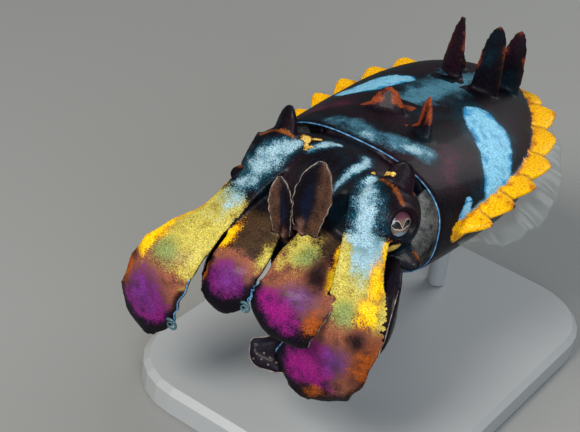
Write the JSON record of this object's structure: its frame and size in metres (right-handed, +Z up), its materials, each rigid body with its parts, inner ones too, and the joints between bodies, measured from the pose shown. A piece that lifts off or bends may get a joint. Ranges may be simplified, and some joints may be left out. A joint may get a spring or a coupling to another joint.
{
  "type": "flamboyant cuttlefish display model",
  "caption": "Life-size still model of a flamboyant cuttlefish with spread paddle arms, frilled mantle and fins, held by rods over a flat display base.",
  "frame": {"origin": "middle of the underside of the stand's base", "axes": "+Z up, the animal faces -Y, its left side is +X"},
  "size_m": [0.062, 0.0937, 0.0701],
  "materials": {
    "mantle_skin": "moist, satin, near-black maroon with pale blue and yellow markings",
    "head_skin": "moist, satin, near-black with blue-white patches",
    "arm_skin": "moist, satin, yellow and magenta with dark margins",
    "eye": "clear wet gloss over a tan-grey iris with a dark W-shaped pupil",
    "fin_membrane": "thin translucent membrane",
    "stand": "plain satin grey acrylic"
  },
  "bodies": {
    "root": {"mantle": "mantle_skin", "head": "head_skin", "eye_left": "eye", "eye_right": "eye", "arm_1_left": "arm_skin", "arm_1_right": "arm_skin", "arm_2_left_root": "arm_skin", "arm_2_left_blade": "arm_skin", "arm_2_right_root": "arm_skin", "arm_2_right_blade": "arm_skin", "arm_3_left_root": "arm_skin", "arm_3_left_blade": "arm_skin", "arm_3_right_root": "arm_skin", "arm_3_right_blade": "arm_skin", "arm_4_left_root": "arm_skin", "arm_4_left_blade": "arm_skin", "arm_4_right_root": "arm_skin", "arm_4_right_blade": "arm_skin", "fin_left": "fin_membrane", "fin_right": "fin_membrane", "funnel": "head_skin", "mouth": "head_skin", "stand_base": "stand", "stand_rod_front": "stand", "stand_rod_rear": "stand"}
  },
  "joints": []
}
